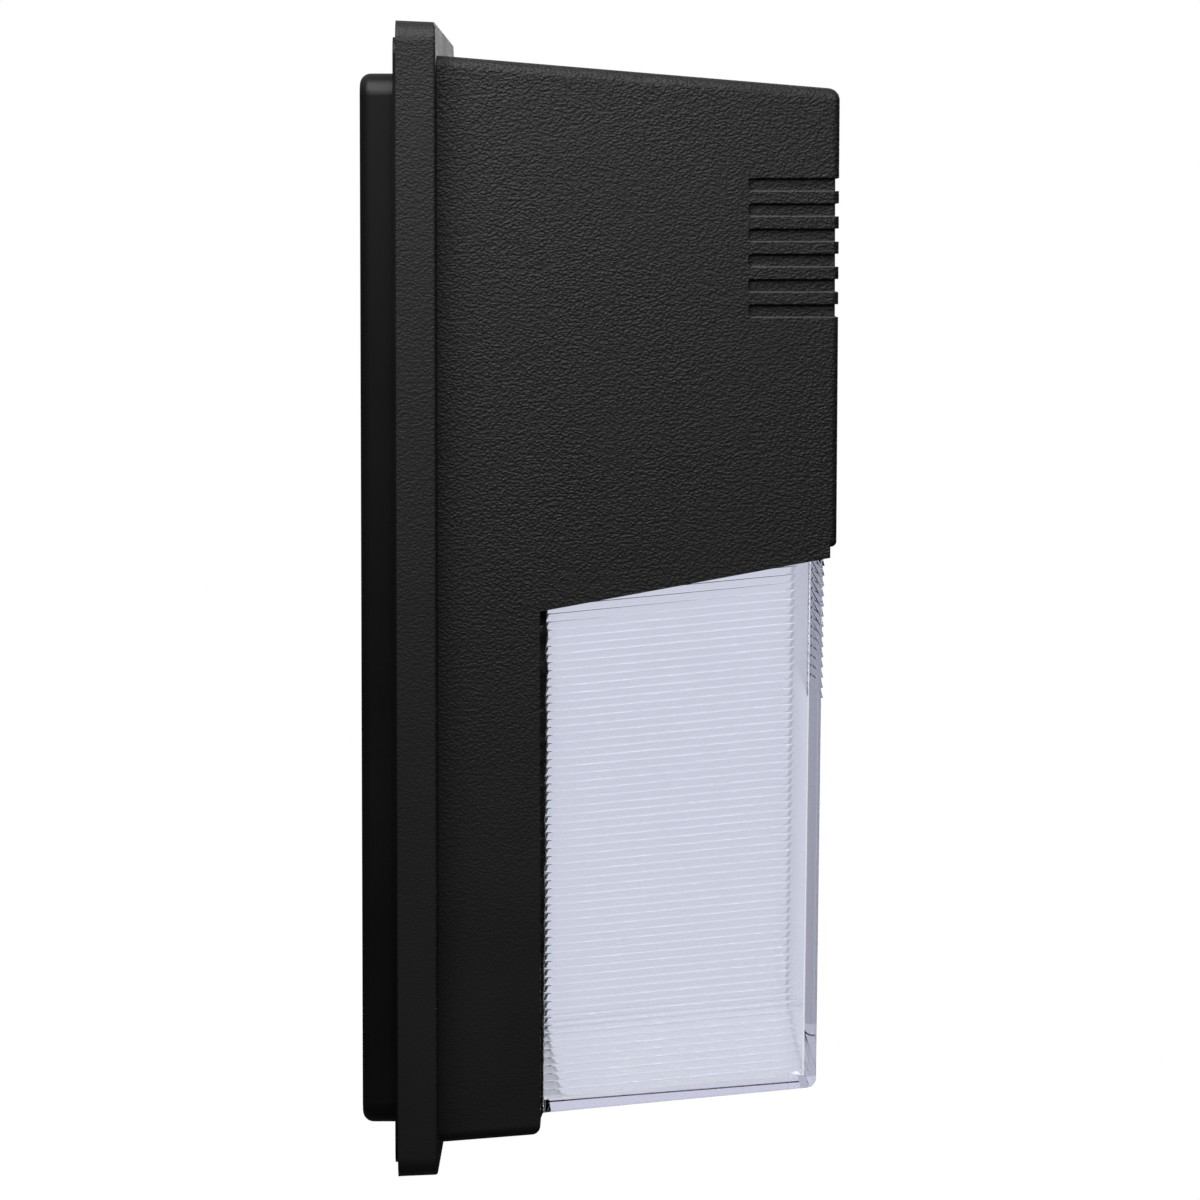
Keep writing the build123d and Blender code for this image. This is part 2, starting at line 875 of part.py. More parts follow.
# the board stands on its case's floor by two ledges and carries its larger components
def make_driver_board():
    near = tray_front + driver_wall + circuit_standoff
    floor = tray_front + driver_wall
    width = driver_width - 2 * driver_wall - 4 * seat_gap
    height = driver_height - 2 * driver_wall - 4 * seat_gap
    board = block(0, driver_z, width, height, near, near + circuit_thick)
    top = near + circuit_thick
    for side in (-1, 1):
        ledge_x = side * (width / 2 - ledge_inset)
        board += block(ledge_x, driver_z + ledge_rise, ledge_width, ledge_height, floor, near)
    for place, size in ((coil_place, coil_size), (relay_place, relay_size)):
        board += block(place[0], driver_z + place[1], size[0], size[1], top, top + size[2])
    for x, rise, radius, length in capacitors:
        board += rod(x, driver_z + rise, radius, top, top + length)
    return board


def make_driver_screws():
    head_far = tray_back - tray_head_height
    tip = tray_front + driver_ear_thick + driver_screw_reach
    screws = []
    for x, z in driver_screw_places():
        screws.append(screw(x, z, tray_head_radius, tray_back, head_far, tray_screw_radius, tip))
    return group(screws)


def terminal_places():
    middle = (terminal_poles - 1) / 2
    return [(index - middle) * terminal_pitch for index in range(terminal_poles)]


def make_terminal_block():
    near = tray_back - terminal_depth
    body = block(0, terminal_z, terminal_width, terminal_height, near, tray_back)
    seat = near + terminal_seat_sink
    entry = Cylinder(terminal_entry_radius, terminal_entry_length)
    for x in terminal_places():
        body -= rod(x, terminal_z, terminal_head_radius + slide_gap, near, seat)
        body -= rod(x, terminal_z, terminal_screw_radius + fit_gap, near, near + terminal_tip_sink)
        for side in (-1, 1):
            body -= Pos(x, -entry_depth, terminal_z + side * (terminal_height / 2)) * entry
    return body


def make_terminal_screws():
    near = tray_back - terminal_depth
    seat = near + terminal_seat_sink
    head = near + terminal_head_sink
    tip = near + terminal_tip_sink
    radius = terminal_head_radius
    screws = []
    for x in terminal_places():
        screws.append(screw(x, terminal_z, radius, seat, head, terminal_screw_radius, tip))
    return group(screws)


nodes["driver_case"] = make_driver_case()
nodes["driver_lid"] = make_driver_lid()
nodes["driver_board"] = make_driver_board()
nodes["driver_screws"] = make_driver_screws()
nodes["terminal_block"] = make_terminal_block()
nodes["terminal_screws"] = make_terminal_screws()

# ---------------------------------------------------------------- leads


def make_lead_grommets():
    rings = []
    for x, z in lead_holes:
        back = tray_back - lead_grommet_lip
        front = tray_front + lead_grommet_lip
        ring = rod(x, z, lead_grommet_radius, back, tray_back)
        ring += rod(x, z, lead_grommet_groove, tray_back, tray_front)
        ring += rod(x, z, lead_grommet_radius, tray_front, front)
        rings.append(ring - rod(x, z, lead_grommet_bore, back, front))
    return group(rings)


# each arc is as large as the shorter of its two runs allows
def arc_radii(points):
    radii = []
    for index in range(1, len(points) - 1):
        before = Vector(points[index]) - Vector(points[index - 1])
        after = Vector(points[index + 1]) - Vector(points[index])
        half_turn = radians(before.get_angle(after)) / 2
        radii.append(0.45 * min(before.length, after.length) / tan(half_turn))
    return radii


# a lead through (x, depth, z) points
def make_lead(name, places):
    points = [(x, -depth, z) for x, depth, z in places]
    radii = arc_radii(points)
    path = FilletPolyline(*points, radius=radii)
    start = Plane(origin=points[0], z_dir=path % 0)
    lead = sweep(start * Circle(lead_radius), path=path)
    expected = pi * lead_radius**2 * path.length
    print(name, "radii", [round(radius, 1) for radius in radii])
    print(name, "volume", round(lead.volume, 1), "of", round(expected, 1))
    return lead


case_end = driver_width / 2
run_depth = tray_back - lead_run_back
plug_depth = tray_front + board_thick + connector_entry_rise
plug_x = connector_x + connector_width / 2

nodes["lead_grommets"] = make_lead_grommets()
nodes["positive_lead"] = make_lead(
    "positive_lead",
    [
        (case_end, driver_lead_depth, lead_pair_z + lead_step),
        (lead_pair_x + lead_step, driver_lead_depth, lead_pair_z + lead_step),
        (lead_pair_x + lead_step, run_depth, lead_pair_z + lead_step),
        (lead_pair_x - 0.6, run_depth - 1.0, lead_pair_z - 37.0),
        (lead_pair_x - 3.6, run_depth - 1.4, board_pair_z + 40.0),
        (board_pair_x + lead_step, run_depth, board_pair_z + lead_step),
        (board_pair_x + lead_step, plug_depth, board_pair_z + lead_step),
        (plug_x, plug_depth, board_pair_z + lead_step),
    ],
)
nodes["negative_lead"] = make_lead(
    "negative_lead",
    [
        (case_end, driver_lead_depth, lead_pair_z - lead_step),
        (lead_pair_x - lead_step, driver_lead_depth, lead_pair_z - lead_step),
        (lead_pair_x - lead_step, run_depth, lead_pair_z - lead_step),
        (lead_pair_x - 3.4, run_depth - 1.4, lead_pair_z - 39.0),
        (lead_pair_x - 6.2, run_depth - 1.8, board_pair_z + 38.0),
        (board_pair_x - lead_step, run_depth, board_pair_z - lead_step),
        (board_pair_x - lead_step, plug_depth, board_pair_z - lead_step),
        (plug_x, plug_depth, board_pair_z - lead_step),
    ],
)
entry_z = terminal_z - terminal_height / 2
nodes["line_lead"] = make_lead(
    "line_lead",
    [
        (-case_end, driver_lead_depth, lead_pair_z + lead_step),
        (-lead_pair_x + lead_step, driver_lead_depth, lead_pair_z + lead_step),
        (-lead_pair_x + lead_step, run_depth - 2.0, lead_pair_z + lead_step),
        (-lead_pair_x + 17.2, run_depth - 1.0, entry_z - 23.0),
        (-terminal_pitch, entry_depth, entry_z - 17.0),
        (-terminal_pitch, entry_depth, entry_z + lead_entry_reach),
    ],
)
nodes["neutral_lead"] = make_lead(
    "neutral_lead",
    [
        (-case_end, driver_lead_depth, lead_pair_z - lead_step),
        (-lead_pair_x - lead_step, driver_lead_depth, lead_pair_z - lead_step),
        (-lead_pair_x - lead_step, run_depth - 2.0, lead_pair_z - lead_step),
        (-lead_pair_x + 23.2, run_depth - 2.0, entry_z - 35.0),
        (0.0, entry_depth, entry_z - 25.0),
        (0.0, entry_depth, entry_z + lead_entry_reach),
    ],
)

# ---------------------------------------------------------------- cover screws


def make_cover_screw(x):
    head_far = seal_front + screw_head_height
    head = rod(x, screw_z, screw_head_radius, seal_front, head_far)
    neck = rod(x, screw_z, screw_neck_radius, screw_thread_start, seal_front)
    thread = rod(x, screw_z, screw_thread_radius, screw_tip, screw_thread_start)
    return head + neck + thread - screw_recess(x, screw_z, head_far, 1)


def make_screw_seal(x):
    seal = rod(x, screw_z, screw_head_radius, flange_front - pocket_sink, seal_front)
    bore = screw_neck_radius + fit_gap
    return seal - rod(x, screw_z, bore, flange_front - pocket_sink, seal_front)


for side, x in (("left", -screw_x), ("right", screw_x)):
    nodes["cover_screw_" + side] = make_cover_screw(x)
    nodes["screw_seal_" + side] = make_screw_seal(x)

# ---------------------------------------------------------------- write the pieces

os.makedirs("parts", exist_ok=True)
for name, shape in nodes.items():
    shape.label = name
    export_step(shape, "parts/" + name + ".step")
print(len(nodes), "pieces written")
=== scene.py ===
import math
import bpy
import bmesh
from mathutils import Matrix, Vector, noise


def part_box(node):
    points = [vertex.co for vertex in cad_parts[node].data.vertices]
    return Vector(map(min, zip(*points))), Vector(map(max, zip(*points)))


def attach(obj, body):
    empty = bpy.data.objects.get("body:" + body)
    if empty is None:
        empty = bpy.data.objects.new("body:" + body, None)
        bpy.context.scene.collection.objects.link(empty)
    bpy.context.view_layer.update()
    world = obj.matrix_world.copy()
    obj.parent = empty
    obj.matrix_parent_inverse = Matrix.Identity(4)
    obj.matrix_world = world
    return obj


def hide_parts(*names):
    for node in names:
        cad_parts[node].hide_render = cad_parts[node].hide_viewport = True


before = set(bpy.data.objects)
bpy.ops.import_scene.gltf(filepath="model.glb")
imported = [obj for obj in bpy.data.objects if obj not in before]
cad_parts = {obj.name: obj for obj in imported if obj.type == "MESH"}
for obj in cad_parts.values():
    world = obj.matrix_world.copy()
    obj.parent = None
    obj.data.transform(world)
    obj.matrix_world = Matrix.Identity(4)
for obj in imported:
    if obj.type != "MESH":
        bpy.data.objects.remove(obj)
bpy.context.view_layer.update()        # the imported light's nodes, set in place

mm = 0.001
hair = 1e-6        # how near counts as touching, in metres
print("frame loaded:", len(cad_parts), "nodes")


# the camera, at the photo's viewing angle
shot = {
    "place": (-1.523, -0.0674, 0.1),        # metres, looking along +X at the light's left side
    "aim": (-0.089, -0.066, 0.0011),
    "lens": 157.9,        # millimetres on the sensor below
    "sensor": 36.0,
}


def placeCamera():
    data = bpy.data.cameras.new("sideCamera")
    data.sensor_width = shot["sensor"]
    data.sensor_fit = "HORIZONTAL"
    data.lens = shot["lens"]
    camera = bpy.data.objects.new("sideCamera", data)
    bpy.context.scene.collection.objects.link(camera)
    camera.location = shot["place"]
    look = Vector(shot["aim"]) - camera.location
    camera.rotation_euler = look.to_track_quat("-Z", "Y").to_euler()
    bpy.context.scene.camera = camera


lamps = [        # name, place, aim, size in metres, watts
    ("keyLamp", (-0.3, 0.03, 0.36), (-0.089, -0.07, 0.0), 0.3, 2.1),
    ("glintLamp", (-0.9, -0.09, 0.5), (-0.089, -0.08, -0.05), 0.2, 1.5),
    ("frontLamp", (1.3, -0.7, 0.6), (0.0, -0.07, 0.0), 0.8, 13.0),
]
studio = {
    "fillLow": 0.01,        # what diffuse surfaces get from the room below them
    "fillHigh": 0.4,        # and from the room above them
    "fillSpan": (-0.5, 1.0),        # the upward directions between which it changes
    "mirrorLow": 0.01,        # what gloss shows of the room below
    "mirrorHigh": 0.6,        # and above
    "mirrorSpan": (-0.2, 0.9),
    "frontShade": 0.5,        # how much of that the room's front side keeps
    "shadeSpan": (-0.9, 0.2),        # the backward directions between which it changes
    "floorDrop": 0.5,        # metres from the wall screws' middle down to the floor
    "floorRadius": 1.6,
    "floorFade": (0.9, 1.568),        # the distances at which it fades into the background
    "floorSides": 96,
    "floorColour": (0.86, 0.86, 0.87, 1),
    "floorBounce": (0.12, 0.12, 0.12, 1),        # what the light gets back from the floor
    "floorGlow": 0.55,        # share of plain white that the camera sees in the floor
}

lightBounces = {"all": 32, "glossy": 20, "clear": 20}        # the lens's walls guide light far


def hangLamps():
    for name, place, aim, size, watts in lamps:
        data = bpy.data.lights.new(name, "AREA")
        data.shape = "SQUARE"
        data.size = size
        data.energy = watts
        lamp = bpy.data.objects.new(name, data)
        bpy.context.scene.collection.objects.link(lamp)
        lamp.location = place
        look = Vector(aim) - lamp.location
        lamp.rotation_euler = look.to_track_quat("-Z", "Y").to_euler()


def joined(tree, operation, first, second):
    node = tree.nodes.new("ShaderNodeMath")
    node.operation = operation
    for socket, value in zip(node.inputs, (first, second)):
        if isinstance(value, bpy.types.NodeSocket):
            tree.links.new(value, socket)
        else:
            socket.default_value = value
    return node.outputs[0]


def ranged(tree, value, start, end, low, high):
    node = tree.nodes.new("ShaderNodeMapRange")
    node.interpolation_type = "SMOOTHSTEP"
    tree.links.new(value, node.inputs["Value"])
    for name, number in (("From Min", start), ("From Max", end), ("To Min", low), ("To Max", high)):
        node.inputs[name].default_value = number
    return node.outputs[0]


# 1 for rays that the camera sends, also through the lens
def seenRays(tree, rays):
    camera, through = rays.outputs["Is Camera Ray"], rays.outputs["Is Transmission Ray"]
    return joined(tree, "MAXIMUM", camera, through)


# white for what the camera sees; other rays get a soft room that is brightest overhead
def paintWorld():
    world = bpy.data.worlds.new("studioWorld")
    bpy.context.scene.world = world
    world.use_nodes = True
    tree = world.node_tree
    tree.nodes.clear()
    place = tree.nodes.new("ShaderNodeTexCoord")
    split = tree.nodes.new("ShaderNodeSeparateXYZ")
    tree.links.new(place.outputs["Generated"], split.inputs[0])
    rays = tree.nodes.new("ShaderNodeLightPath")
    seen = seenRays(tree, rays)
    up = split.outputs["Z"]
    fill = ranged(tree, up, *studio["fillSpan"], studio["fillLow"], studio["fillHigh"])
    mirror = ranged(tree, up, *studio["mirrorSpan"], studio["mirrorLow"], studio["mirrorHigh"])
    glossy = rays.outputs["Is Glossy Ray"]
    matt = joined(tree, "MULTIPLY", fill, joined(tree, "SUBTRACT", 1.0, glossy))
    even = joined(tree, "ADD", matt, joined(tree, "MULTIPLY", mirror, glossy))
    side = ranged(tree, split.outputs["Y"], *studio["shadeSpan"], studio["frontShade"], 1.0)
    unseen = joined(tree, "MULTIPLY", even, side)
    light = tree.nodes.new("ShaderNodeBackground")
    light.inputs["Color"].default_value = (1, 1, 1, 1)
    tree.links.new(joined(tree, "MAXIMUM", seen, unseen), light.inputs["Strength"])
    output = tree.nodes.new("ShaderNodeOutputWorld")
    tree.links.new(light.outputs[0], output.inputs[0])


# a pale floor that fades into the white background round it and doesn't show from below
def layFloor():
    bm = bmesh.new()
    bmesh.ops.create_circle(
        bm, cap_ends=True, segments=studio["floorSides"], radius=studio["floorRadius"]
    )
    bmesh.ops.translate(bm, verts=bm.verts, vec=(0, 0, -studio["floorDrop"]))
    floor = finishMesh(bm, "studioFloor")
    material = bpy.data.materials.new("paleFloor")
    material.use_nodes = True
    tree = material.node_tree
    tree.nodes.clear()
    place = tree.nodes.new("ShaderNodeTexCoord")
    flat = tree.nodes.new("ShaderNodeVectorMath")
    flat.operation = "MULTIPLY"
    flat.inputs[1].default_value = (1, 1, 0)
    tree.links.new(place.outputs["Object"], flat.inputs[0])
    away = tree.nodes.new("ShaderNodeVectorMath")
    away.operation = "LENGTH"
    tree.links.new(flat.outputs[0], away.inputs[0])
    fade = ranged(tree, away.outputs["Value"], *studio["floorFade"], 0.0, 1.0)
    seen = seenRays(tree, tree.nodes.new("ShaderNodeLightPath"))
    colour = tree.nodes.new("ShaderNodeMix")
    colour.data_type = "RGBA"
    tree.links.new(seen, colour.inputs[0])
    colour.inputs[6].default_value = studio["floorBounce"]        # the mix's two colours
    colour.inputs[7].default_value = studio["floorColour"]
    matt = tree.nodes.new("ShaderNodeBsdfDiffuse")
    tree.links.new(colour.outputs[2], matt.inputs["Color"])
    glow = tree.nodes.new("ShaderNodeEmission")
    lit = tree.nodes.new("ShaderNodeMixShader")
    tree.links.new(joined(tree, "MULTIPLY", seen, studio["floorGlow"]), lit.inputs[0])
    tree.links.new(matt.outputs[0], lit.inputs[1])
    tree.links.new(glow.outputs[0], lit.inputs[2])
    clear = tree.nodes.new("ShaderNodeBsdfTransparent")
    under = tree.nodes.new("ShaderNodeNewGeometry").outputs["Backfacing"]
    mix = tree.nodes.new("ShaderNodeMixShader")
    tree.links.new(joined(tree, "MAXIMUM", fade, under), mix.inputs[0])
    tree.links.new(lit.outputs[0], mix.inputs[1])
    tree.links.new(clear.outputs[0], mix.inputs[2])
    output = tree.nodes.new("ShaderNodeOutputMaterial")
    tree.links.new(mix.outputs[0], output.inputs[0])
    floor.data.materials.append(material)


# makes the bmesh an object of the scene
def finishMesh(bm, name):
    mesh = bpy.data.meshes.new(name)
    bm.to_mesh(mesh)
    bm.free()
    piece = bpy.data.objects.new(name, mesh)
    bpy.context.scene.collection.objects.link(piece)
    return piece


# a side outline of (depth, z) points carried across to both sides
def sideBlock(bm, points, halfWidth):
    corners = [bm.verts.new((-halfWidth, -depth, z)) for depth, z in points]
    face = bm.faces.new(corners)
    made = bmesh.ops.extrude_face_region(bm, geom=[face])["geom"]
    moved = [item for item in made if isinstance(item, bmesh.types.BMVert)]
    bmesh.ops.translate(bm, verts=moved, vec=(2 * halfWidth, 0, 0))


# cuts only these faces by a plane and gives the vertices on the cut
def cutFaces(bm, faces, point, normal):
    geom = set(faces)
    for face in faces:
        geom.update(face.edges)
        geom.update(face.verts)
    cut = bmesh.ops.bisect_plane(
        bm, geom=list(geom), dist=hair, plane_co=point, plane_no=normal
    )["geom_cut"]
    return [item for item in cut if isinstance(item, bmesh.types.BMVert)]


def middleOf(edge):
    return (edge.verts[0].co + edge.verts[1].co) / 2


def smoothSharp(piece, degrees):
    mesh = piece.data
    mesh.polygons.foreach_set("use_smooth", [True] * len(mesh.polygons))
    mesh.set_sharp_from_angle(angle=math.radians(degrees))
    weighted = piece.modifiers.new("faceWeights", "WEIGHTED_NORMAL")
    weighted.keep_sharp = True


# one material with its principled shader and the piece's own coordinates
class Finish:
    def __init__(self, name):
        self.material = bpy.data.materials.new(name)
        self.material.use_nodes = True
        self.tree = self.material.node_tree
        self.tree.nodes.clear()
        self.output = self.tree.nodes.new("ShaderNodeOutputMaterial")
        self.shader = self.tree.nodes.new("ShaderNodeBsdfPrincipled")
        self.tree.links.new(self.shader.outputs[0], self.output.inputs[0])
        self.place = self.add("TexCoord").outputs["Object"]

    # adds a node: settings are its properties, inputs its sockets' links or values
    def add(self, kind, inputs=None, **settings):
        node = self.tree.nodes.new("ShaderNode" + kind)
        for key, value in settings.items():
            setattr(node, key, value)
        for key, value in (inputs or {}).items():
            if isinstance(value, bpy.types.NodeSocket):
                self.tree.links.new(value, node.inputs[key])
            else:
                node.inputs[key].default_value = value
        return node

    def link(self, value, socket):
        self.tree.links.new(value, self.shader.inputs[socket])

    def set(self, **values):
        for key, value in values.items():
            self.shader.inputs[key.replace("_", " ")].default_value = value

    def stretched(self, scale):
        return self.add("Mapping", {"Vector": self.place, "Scale": scale}).outputs[0]

    def noise(self, scale, detail=3.0, vector=None, distortion=0.0):
        inputs = {"Vector": vector or self.place, "Scale": scale, "Detail": detail}
        inputs["Distortion"] = distortion
        return self.add("TexNoise", inputs).outputs["Fac"]

    def between(self, value, low, high, start=0.3, end=0.7):
        inputs = {"Value": value, "From Min": start, "From Max": end, "To Min": low, "To Max": high}
        return self.add("MapRange", inputs).outputs[0]

    def math(self, operation, first, second=0.0):
        return self.add("Math", {0: first, 1: second}, operation=operation).outputs[0]

    # a colour that drifts between two shades with the value
    def shades(self, value, dark, light):
        return self.mixed(value, (*dark, 1), (*light, 1))

    def mixed(self, factor, first, second):
        return self.add("Mix", {0: factor, 6: first, 7: second}, data_type="RGBA").outputs[2]

    # how far a point is along a direction
    def along(self, direction):
        inputs = {0: self.place, 1: direction}
        return self.add("VectorMath", inputs, operation="DOT_PRODUCT").outputs["Value"]

    # the normal with the piece's edges softened
    def softEdges(self, radius):
        return self.add("Bevel", {"Radius": radius * mm}, samples=4).outputs[0]

    def bump(self, height, distance, strength=1.0, under=None):
        inputs = {"Height": height, "Distance": distance, "Strength": strength}
        if under:
            inputs["Normal"] = under
        return self.add("Bump", inputs).outputs[0]


def shade(colour, factor):
    return tuple(channel * factor for channel in colour)


# the black front housing
housingLook = {
    "dark": (0.0093, 0.0093, 0.0097),
    "light": (0.0123, 0.0123, 0.0127),
    "roughness": (0.5, 0.62),
    "gloss": 0.26,
    "pebble": 0.68,        # millimetres across one pebble of the grain
    "pebbleSpan": (0.1, 0.7),        # the distances from a pebble's middle over which it falls
    "pebbleBlend": 0.6,        # how softly pebbles run together
    "wander": 1.4,        # how far the pebbles stray, in pebbles
    "wanderScale": 0.55,
    "fine": 0.5,        # how much the fine grain adds
    "fineScale": 1.6,
    "patches": 30.0,        # patches of shade per metre
    "stretch": 1.4,        # how much longer a pebble is along the horizontal
    "grainDepth": 0.2,
    "flangeGrain": 0.5,        # how much of the grain the flange keeps
    "flangeSpan": (-22.5, -20.5),        # from the hood to the flange, along Y
    "lowGrain": 0.14,        # and how much is left at the bottom, where the mould was smoother
    "grainFade": (-105.0, 30.0),        # the heights that it fades between
    "edge": 0.5,        # the moulding's soft edges
    "paintedEdgeHighlight": (0.09, 0.09, 0.092),        # painted highlight on its upper edges, standing in for the light from above catching them
    "edgeHighlightSpan": (0.1, 0.7),        # how far upwards an edge has to turn for the painted highlight
}


def mouldedHousing():
    look = housingLook
    finish = Finish("mouldedHousing")
    high = 1 / (look["pebble"] * mm)
    long = high / look["stretch"]
    stretched = finish.stretched((long, long, high))
    wander = finish.add(
        "TexNoise", {"Vector": stretched, "Scale": look["wanderScale"], "Detail": 2.0}
    ).outputs["Color"]
    stray = (look["wander"],) * 3
    bent = finish.add("VectorMath", {0: wander, 1: stray}, operation="MULTIPLY").outputs[0]
    warped = finish.add("VectorMath", {0: stretched, 1: bent}, operation="ADD").outputs[0]
    cells = finish.add(
        "TexVoronoi",
        {"Vector": warped, "Scale": 1.0, "Randomness": 1.0, "Smoothness": look["pebbleBlend"]},
        feature="SMOOTH_F1",
    ).outputs["Distance"]
    pebbles = finish.between(cells, 1.0, 0.0, *look["pebbleSpan"])
    fine = finish.noise(look["fineScale"], vector=stretched)
    grain = finish.math("ADD", pebbles, finish.math("MULTIPLY", fine, look["fine"]))
    hood, flange = look["flangeSpan"]
    rearward = finish.along((0, 1, 0))
    front = finish.between(rearward, 1.0, look["flangeGrain"], hood * mm, flange * mm)
    low, high = look["grainFade"]
    fade = finish.between(finish.along((0, 0, 1)), look["lowGrain"], 1.0, low * mm, high * mm)
    height = finish.math("MULTIPLY", grain, finish.math("MULTIPLY", front, fade))
    soft = finish.softEdges(look["edge"])
    finish.link(finish.bump(height, look["grainDepth"] * mm, under=soft), "Normal")
    patches = finish.noise(look["patches"], detail=4.0)
    # painted highlight: where the softened normal turns upwards the colour lightens, as if lit from
    # above
    flat = finish.add("NewGeometry").outputs["True Normal"]
    turn = finish.add("VectorMath", {0: soft, 1: flat}, operation="SUBTRACT").outputs[0]
    ways = {"vector_type": "VECTOR", "convert_from": "WORLD", "convert_to": "OBJECT"}
    turn = finish.add("VectorTransform", {0: turn}, **ways).outputs[0]
    rise = finish.add("SeparateXYZ", {0: turn}).outputs["Z"]
    colour = finish.shades(patches, look["dark"], look["light"])
    shine = finish.between(rise, 0.0, 1.0, *look["edgeHighlightSpan"])
    finish.link(finish.mixed(shine, colour, (*look["paintedEdgeHighlight"], 1)), "Base Color")
    finish.link(finish.between(patches, *look["roughness"]), "Roughness")
    finish.set(Specular_IOR_Level=look["gloss"])
    return finish.material


# the clear lens
lensShape = {        # millimetres and degrees
    "wall": 3.2,
    "lip": 1.8,
    "lipThick": 3.0,
    "frontDraft": 0.6,
    "bottomSlope": 5.5,
    "frontEdge": 2.5,        # the long rounded edge between front and bottom
    "sideEdge": 0.6,
    "innerEdge": 1.5,
    "innerFrontEdge": 0.8,
    "edgeSteps": 6,
    "toothCount": 14,
    "toothPitch": 2.82,
    "toothHeight": 0.7,
    "toothDrop": 9.5,
    "toothMargin": 5.0,
    "ribPitch": 2.25,
    "ribWidth": 0.75,
    "ribHeight": 0.1,
    "ribRear": 44.0,        # behind the frame, where their ends don't show
    "ribFrontGap": 0.9,
    "ribTaper": 5.0,
    "ribLift": 3.0,
    "ribCount": 68,
}
lensLook = {
    "tint": (0.772, 0.786, 0.856),        # of the ribbed sides
    "paintedRibHighlight": (0.95, 0.96, 0.99, 1),        # painted highlight on the ribs' crests at the bottom, standing in for the lamps' glints on them
    "ribHighlightFade": (-105.0, -50.0, 0.4),        # the heights the painted highlight fades between, and what is left above
    "clearTint": (0.9, 0.91, 0.94, 1),        # and of the plain walls
    # painted shade on the walls' cut ends, standing in for the light lost on the long way through
    # them
    "teethEndShade": (0.35, 0.35, 0.45, 1),
    "frontEndShade": (0.42, 0.43, 0.51, 1),        # painted shade on the ends of the front wall, seen from the side
    "floorEndShade": (0.76, 0.76, 0.9, 1),        # and painted shade, lighter, on the ends of the bottom wall
    "tintDrift": 1.02,        # how far the tint drifts, as a factor
    "roughness": (0.0036, 0.0052),
    "index": 1.49,
    "waves": 0.02,        # how strongly the surface waves
    "waveDepth": 0.05,        # in millimetres
    "waveScale": 60.0,        # waves per metre
    "depthTint": (0.5, 0.5, 0.62, 1),        # what long ways through the plastic turn to
    "depthLoss": 3.0,        # how fast, per metre
}


def size(name):
    return lensShape[name] * mm


lensLow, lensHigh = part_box("lens")
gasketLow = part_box("lens_gasket")[0]
lensRear = -lensHigh.y
lensHalf = lensHigh.x - size("lip")
lensTop = lensHigh.z - size("lip")
lensBottom = lensLow.z + size("lip")
draft = math.tan(math.radians(lensShape["frontDraft"]))
slope = math.tan(math.radians(lensShape["bottomSlope"]))
toothTop = lensTop - size("toothDrop")
toothEnd = toothTop - lensShape["toothCount"] * size("toothPitch")
lensFront = -lensLow.y - size("toothHeight") + (size("toothDrop") + size("toothPitch")) * draft


# the front face's depth at a height
def frontAt(z):
    return lensFront - (lensTop - z) * draft


# the bottom face's height at a depth
def bottomAt(depth):
    return lensBottom + (depth + gasketLow.y) * slope


# the side outline, moved in by inset
def lensOutline(inset, rear):
    lowFront = bottomAt(frontAt(lensBottom)) + inset
    return [
        (rear, lensTop - inset),
        (frontAt(lensTop) - inset, lensTop - inset),
        (frontAt(lowFront) - inset, lowFront),
        (rear, bottomAt(rear) + inset),
    ]


# takes away the block's rear faces
def openRear(bm, rear):
    rearFaces = [
        face for face in bm.faces if all(abs(v.co.y + rear) < hair for v in face.verts)
    ]
    bmesh.ops.delete(bm, geom=rearFaces, context="FACES_ONLY")


def rimEdges(bm, rear):
    return [
        edge for edge in bm.edges
        if edge.is_boundary and all(abs(v.co.y + rear) < hair for v in edge.verts)
    ]


def roundEdges(bm, wanted, radius):
    bmesh.ops.bevel(
        bm, geom=[edge for edge in bm.edges if wanted(middleOf(edge))], offset=radius,
        offset_type="OFFSET", segments=lensShape["edgeSteps"], profile=0.5, affect="EDGES",
        material=-1,
    )


def roundOuterCorners(bm, rear):
    near = 0.05 * mm

    def onFrontLow(p):
        return abs(-p.y - frontAt(p.z)) < near and abs(p.z - bottomAt(-p.y)) < near

    def onSide(p):
        held = -p.y < rear + hair or p.z > lensTop - hair
        return abs(abs(p.x) - lensHalf) < hair and not held

    roundEdges(bm, onFrontLow, size("frontEdge"))
    roundEdges(bm, onSide, size("sideEdge"))


# the inside's long edges between its sides and its floor, and its two upright front edges
def roundInnerCorners(bm):
    def onInnerSide(p):
        low = p.z < bottomAt(-p.y) + 2 * size("wall")
        return low and abs(abs(p.x) - lensHalf + size("wall")) < hair

    def onInnerFront(p):
        ahead = -p.y > frontAt(p.z) - size("wall") - 0.05 * mm
        high = lensBottom + 5 * size("wall") < p.z < lensTop - 2 * size("wall")
        return ahead and high and abs(abs(p.x) - lensHalf + size("wall")) < hair

    roundEdges(bm, onInnerFront, size("innerFrontEdge"))
    roundEdges(bm, onInnerSide, size("innerEdge"))


# the flange that the tray clamps, grown from the outer shell's open rear
def growLip(bm, lipFront):
    edges = rimEdges(bm, lipFront)
    made = bmesh.ops.extrude_edge_only(bm, edges=edges)["geom"]
    ring = [item for item in made if isinstance(item, bmesh.types.BMVert)]
    low = bottomAt(lipFront)
    middle = (lensTop + low) / 2
    reach = (lensTop - low) / 2
    for v in ring:
        v.co.x *= (lensHalf + size("lip")) / lensHalf
        v.co.z = middle + (v.co.z - middle) * (reach + size("lip")) / reach
    back = [item for item in made if isinstance(item, bmesh.types.BMEdge) and item.is_boundary]
    made = bmesh.ops.extrude_edge_only(bm, edges=back)["geom"]
    ring = [item for item in made if isinstance(item, bmesh.types.BMVert)]
    bmesh.ops.translate(bm, verts=ring, vec=(0, size("lipThick"), 0))


